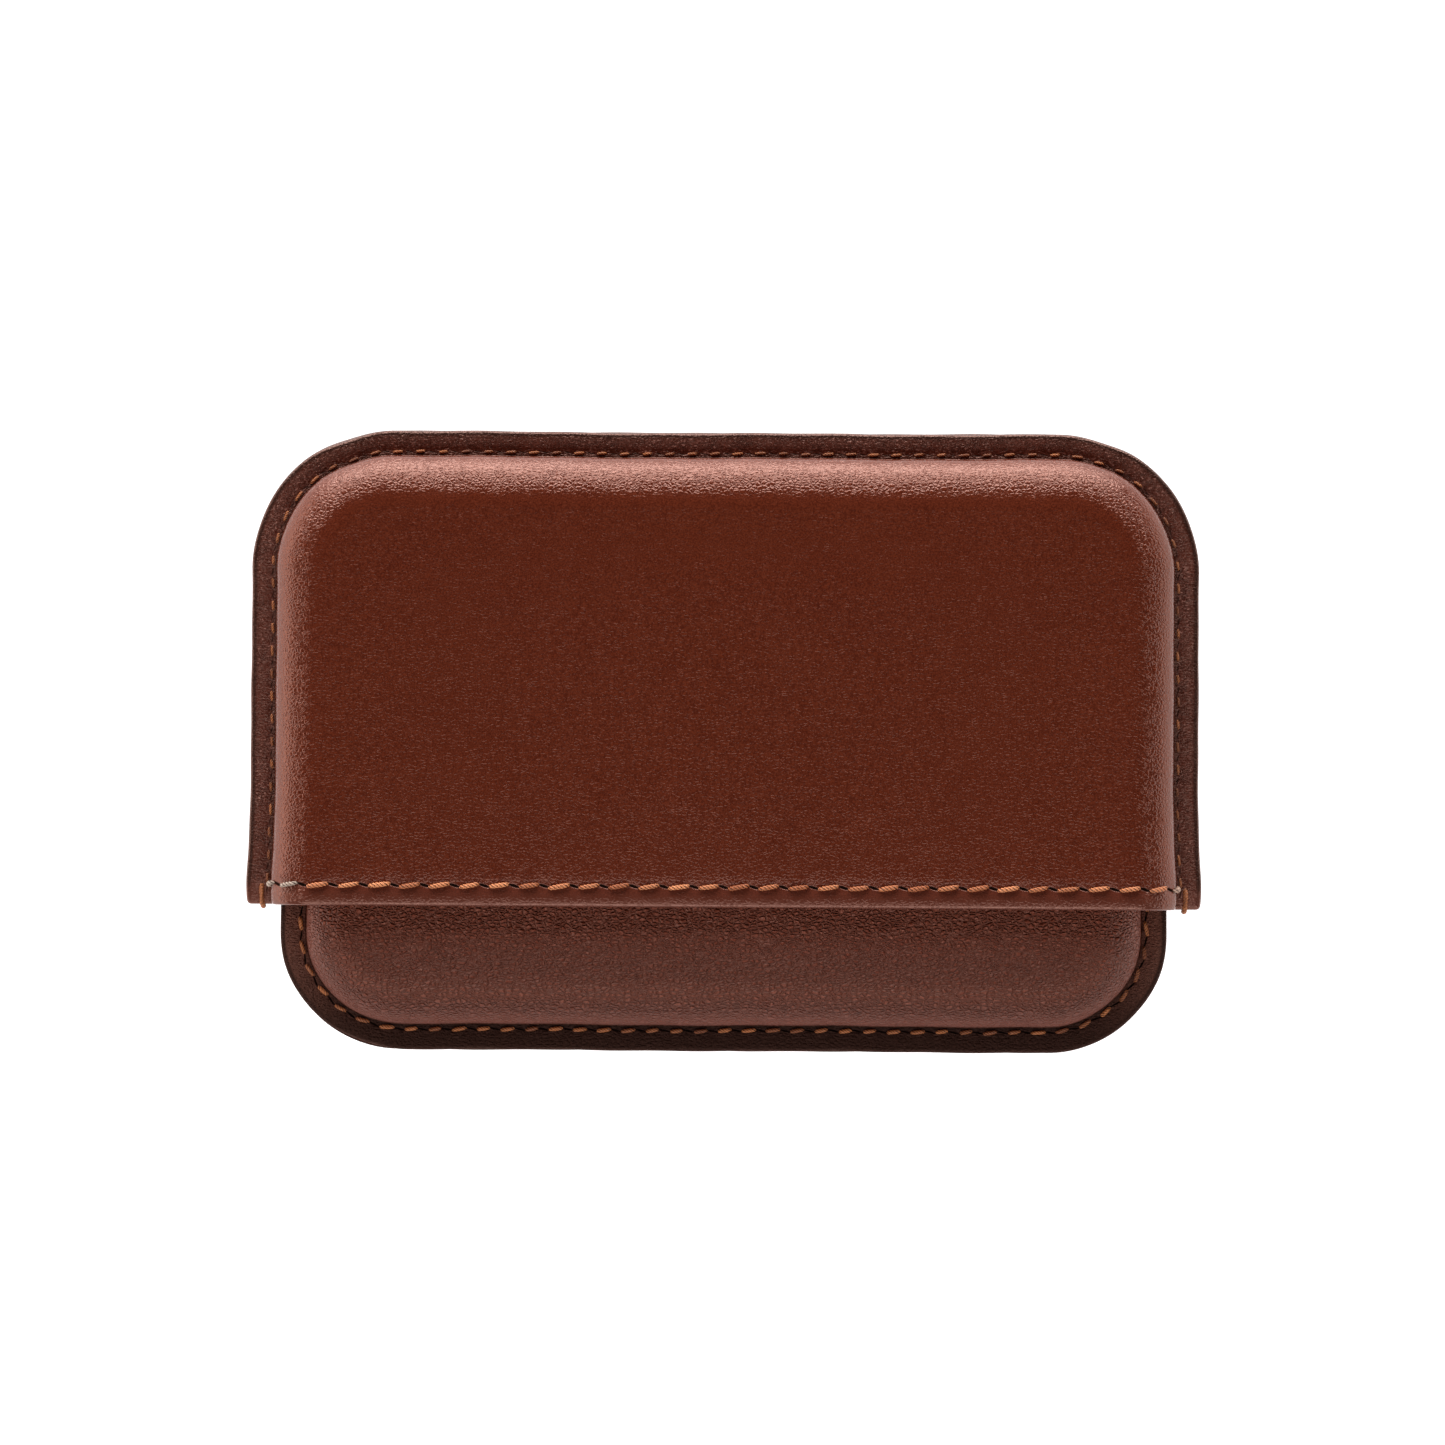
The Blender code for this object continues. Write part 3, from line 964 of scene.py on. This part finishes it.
def case_leather(look):
    """Smooth calf on the cap, boarded calf on the tray: dark burnished rims on both, with painted
    shade at the wall's foot, in the needle slits and on the rim's edge, and painted light at the
    mouth, on the rim and on the tray.
    """
    graph = Graph(look.name)
    where = graph.place()
    rim, burnish, lip, crease = graph.attributes("rim", "burnish", "lip", "crease")
    grain, face, painted_light_share = graph.attributes("grain", "face", "painted_light_share")

    drift = graph.noise(where, 9.0, 3.0, 0.55)
    mottle = graph.noise(where, 1.6, 4.0, 0.6)
    speck = graph.noise(where, 0.18, 1.0, 0.6)
    patches = graph.ramp(drift * 0.5 + mottle * 0.5, 0.35, 0.65)
    speckle = (graph.ramp(speck, 0.3, 0.7) - 0.5) * (0.3 + 0.7 * grain)
    share = 0.5 + speckle * 0.75 + (patches - 0.5) * 0.1
    shade = graph.mix(share, look.deep, look.light)
    # Painted light: a paler band on the tray just clear of the cap's mouth, lifting the cap's
    # shadow there, and round the tray's shoulder as its highlight.
    shade = graph.mix(painted_light_share * 0.55, shade, colour(128, 60, 40))

    bend = graph.noise(where, 1.1, 2.0, 0.5, "Color")
    bent = graph.stretched(graph.moved(where, bend, 0.5), *look.cell_shape)
    pebbles = graph.node(
        "ShaderNodeTexVoronoi",
        {"feature": "DISTANCE_TO_EDGE"},
        {"Vector": bent, "Scale": 1 / (look.cell * MM)},
        "Distance",
    )
    crown = graph.ramp(pebbles, 0.0, 0.3)
    grain = grain * (1 - face * look.face_calm)
    pores = graph.noise(where, 0.2, 2.0, 0.7)
    waves = graph.noise(bent, look.cell * 1.6, 2.0, 0.5)
    creased = 1 - crown
    # Darker colour between the grain's cells.
    shade = graph.mix(creased * grain * look.crease_dye, shade, colour(48, 17, 10))

    rim_pitch, _ = rim_layout(look.half)
    mouth_slit = needle_slits(graph, "mouth_seam", MOUTH_SEAM, MOUTH_SEAM.pitch)
    rim_slit = needle_slits(graph, "rim_seam", look.half.rim_seam, rim_pitch) * look.rim_slits
    slit = mouth_slit.maths("MAXIMUM", rim_slit)

    scrape = graph.noise(graph.stretched(where, 0.7, 1.3, 1.0), 0.27, 2.0, 0.6)
    rim_share = graph.ramp(scrape * 0.6 + mottle * 0.4, 0.3, 0.7)
    rim_shade = graph.mix(rim_share, look.rim_deep, look.rim_light)
    # Painted highlight: pale specks on the rim stand in for its glints.
    rubbed = graph.ramp(scrape, 0.56, 0.72) * graph.ramp(drift, 0.38, 0.62)
    rim_shade = graph.mix(rubbed * look.rubbed, rim_shade, colour(150, 104, 92))
    shade = graph.mix(rim, shade, rim_shade)
    # Painted shade at the foot of the wall.
    shade = graph.mix(crease * look.crease, shade, colour(30, 11, 6))
    # Dark edge paint on the rim's edge, with painted shade where it faces away from the lights, and
    # on the tray the closed end's painted shade.
    shade = graph.mix(burnish * rim * 0.9, shade, look.burnished)
    # A paler mouth edge, with painted light over the strip below the mouth stitches.
    shade = graph.mix(lip * 0.85, shade, look.lip)
    # Painted shade: near black in each needle slit.
    shade = graph.mix(slit, shade, colour(14, 5, 3))

    rough = graph.ramp(mottle * 0.5 + speck * 0.5, 0.3, 0.7, look.bright, look.dull)
    rough = rough + creased * grain * 0.1 + slit * 0.6 + rim * 0.08 + burnish * look.matt_edge
    height = (crown * 0.9 + waves * 0.45) * grain + pores * (0.08 + grain * 0.14 + rim * 0.7)
    height = height + scrape * rim * (1 - burnish) * 2.2 - slit * 1.5
    normal = graph.bump(height, look.relief)
    # A near-black metal throws back almost nothing: it deepens the painted shade in the needle
    # slits and, on the tray, the painted shade of the wall's foot, the rim's edge and the closed
    # end.
    unlit = slit.maths("MAXIMUM", (burnish * rim).maths("MAXIMUM", crease) * look.dark_end)
    return graph.finish(
        Base_Color=shade,
        Roughness=rough,
        Metallic=unlit * 0.9,
        Normal=normal,
        Specular_IOR_Level=0.85,
        Specular_Tint=(1.0, 0.56, 0.45, 1.0),
    )


def suede():
    """The brushed lining."""
    graph = Graph("suede_lining")
    where = graph.place()
    nap = graph.noise(where, 0.25, 3.0, 0.7)
    brushed = graph.noise(where, 3.0, 3.0, 0.6)
    share = graph.ramp(nap * 0.5 + brushed * 0.5, 0.35, 0.65)
    shade = graph.mix(share, colour(92, 62, 42), colour(128, 90, 64))
    normal = graph.bump(nap, 0.08)
    return graph.finish(Base_Color=shade, Roughness=0.9, Normal=normal)


def waxed_thread(name, dark, light):
    """Three-ply thread: each stitch has its own tone, with painted shade between its plies and a
    painted highlight on the stitches over the cap's shoulders.
    """
    graph = Graph(name)
    where = graph.place()
    fibre = graph.noise(where, 0.05, 3.0, 0.7)
    tone, crown, thread_highlight = graph.attributes("stitch_shade", "crown", "thread_highlight")
    share = graph.ramp(fibre * 0.6 + tone * 0.4, 0.2, 0.8)
    shade = graph.mix(share, dark, light)
    # Painted highlight: some stitches are painted pale for their reflection.
    shade = graph.mix(thread_highlight, shade, colour(186, 166, 150))
    # Painted shade in the grooves between the plies.
    shade = graph.mix(1 - crown, shade, colour(58, 24, 10))
    normal = graph.bump(fibre, 0.03)
    return graph.finish(Base_Color=shade, Roughness=0.5, Normal=normal)


def grey_board():
    """The stiffening board inside the shells, with pulp and flecks."""
    graph = Graph("grey_board")
    where = graph.place()
    pulp = graph.noise(where, 0.4, 4.0, 0.7)
    flecks = graph.noise(where, 1.2, 2.0, 0.5)
    share = graph.ramp(pulp * 0.7 + flecks * 0.3, 0.35, 0.65)
    shade = graph.mix(share, colour(140, 122, 98), colour(170, 152, 126))
    return graph.finish(Base_Color=shade, Roughness=0.92, Normal=graph.bump(pulp, 0.05))


# ---------------------------------------------------------------- studio


def studio():
    """A white room, and a pale floor just under the case."""
    world = bpy.data.worlds.new("white_room")
    world.use_nodes = True
    background = world.node_tree.nodes["Background"]
    background.inputs["Color"].default_value = (1, 1, 1, 1)
    background.inputs["Strength"].default_value = 0.02
    bpy.context.scene.world = world
    bpy.context.scene.view_settings.view_transform = "Standard"
    bpy.context.scene.view_settings.look = "None"

    mesh = bpy.data.meshes.new("floor")
    reach = 3.0
    corners = [(-reach, -reach, 0), (reach, -reach, 0), (reach, reach, 0), (-reach, reach, 0)]
    mesh.from_pydata(corners, [], [(0, 1, 2, 3)])
    floor = bpy.data.objects.new("floor", mesh)
    bpy.context.scene.collection.objects.link(floor)
    graph = Graph("pale_floor")
    wash = graph.noise(graph.place(), 400.0, 2.0, 0.5)
    shade = graph.mix(wash, colour(246, 246, 246), colour(250, 250, 250))
    floor.data.materials.append(
        graph.finish(
            Base_Color=shade,
            Roughness=0.9,
            Emission_Color=(1.0, 1.0, 1.0, 1.0),
            Emission_Strength=0.85,
        )
    )
    floor.location.z = -0.0006


def softbox(name, place, size, power, tint=(1.0, 1.0, 1.0)):
    """A rectangular soft light that faces the case."""
    light = bpy.data.lights.new(name, "AREA")
    light.shape = "RECTANGLE"
    light.size, light.size_y = size
    light.energy = power
    light.color = tint
    lamp = bpy.data.objects.new(name, light)
    bpy.context.scene.collection.objects.link(lamp)
    lamp.rotation_euler = Vector(place).to_track_quat("Z", "Y").to_euler()
    lamp.location = place
    lamp.visible_camera = False


def lights():
    """Low softboxes graze the shoulders from every side, and two high ones fill the faces."""
    warm = (1.0, 0.8, 0.7)
    softbox("top_softbox", (-0.05, 0.85, 0.12), (1.2, 0.24), 8.9)
    softbox("raised_top_softbox", (-0.08, 0.85, 0.41), (1.4, 0.3), 7.6)
    softbox("left_softbox", (-0.85, 0.05, 0.12), (1.2, 0.24), 3.2, warm)
    softbox("raised_left_softbox", (-0.85, 0.05, 0.42), (1.2, 0.34), 0.5, warm)
    softbox("right_softbox", (0.85, 0.05, 0.12), (1.2, 0.24), 1.55, warm)
    softbox("front_softbox", (0.0, -0.8, 0.65), (1.2, 0.4), 5.6)
    softbox("overhead_softbox", (0.0, -0.5, 1.0), (1.2, 0.4), 3.2)


def camera():
    """A long lens straight above the front face."""
    data = bpy.data.cameras.new("camera")
    data.sensor_width = 36.0
    distance = 1200.0
    frame_width = 164.4
    data.lens = data.sensor_width * distance / frame_width
    data.clip_end = 20.0
    eye = bpy.data.objects.new("camera", data)
    eye.location = (-0.26 * MM, 2.39 * MM, (distance + MID_HEIGHT + RIM_HEIGHT) * MM)
    eye.rotation_euler = (0, 0, math.radians(0.37))
    bpy.context.scene.collection.objects.link(eye)
    bpy.context.scene.camera = eye


# ---------------------------------------------------------------- the case


def main():
    """Dresses every shell of both halves."""
    camera()
    studio()
    lights()
    lining = suede()
    coarse = waxed_thread("coarse_waxed_thread", colour(170, 90, 46), colour(244, 158, 104))
    fine = waxed_thread("fine_waxed_thread", colour(120, 62, 30), colour(196, 118, 66))
    board = grey_board()
    skins = {
        "cap": case_leather(
            Look(
                name="cap_leather",
                half=CAP,
                deep=colour(73, 25, 13),
                light=colour(104, 44, 25),
                rim_deep=colour(50, 17, 9),
                rim_light=colour(86, 36, 23),
                rubbed=1.0,
                burnished=colour(40, 22, 17),
                matt_edge=0.0,
                lip=colour(94, 50, 39),
                crease=0.5,
                rim_slits=0.7,
                crease_dye=0.25,
                cell=0.4,
                cell_shape=(0.8, 1.0, 1.0),
                relief=0.05,
                face_calm=0.67,
                bright=0.15,
                dull=0.22,
                dark_end=0.0,
            )
        ),
        "tray": case_leather(
            Look(
                name="tray_leather",
                half=TRAY,
                deep=colour(72, 28, 17),
                light=colour(108, 47, 31),
                rim_deep=colour(76, 37, 27),
                rim_light=colour(106, 60, 46),
                rubbed=0.2,
                burnished=colour(24, 11, 8),
                matt_edge=0.2,
                lip=colour(110, 70, 54),
                crease=0.95,
                rim_slits=1.0,
                crease_dye=0.5,
                cell=0.4,
                cell_shape=(0.6, 1.0, 1.0),
                relief=0.26,
                face_calm=0.0,
                bright=0.32,
                dull=0.42,
                dark_end=0.6,
            )
        ),
    }
    shells = [(half, front) for half in (TRAY, CAP) for front in (True, False)]
    for seed, (half, front) in enumerate(shells, FIRST_SEED):
        side = "front" if front else "back"
        shell = leather_shell(half, front)
        fit(shell, half, f"{half.name}_{side}_leather", skins[half.name])
        inside = lining_shell(half, front)
        fit(inside, half, f"{half.name}_{side}_lining", lining)
        mouth, rim = thread_pieces(half, front, seed)
        fit(mouth, half, f"{half.name}_{side}_mouth_thread", coarse)
        fit(rim, half, f"{half.name}_{side}_rim_thread", fine)
        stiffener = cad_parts[f"{half.name}_{side}_board"]
        stiffener.data.materials.clear()
        stiffener.data.materials.append(board)


main()
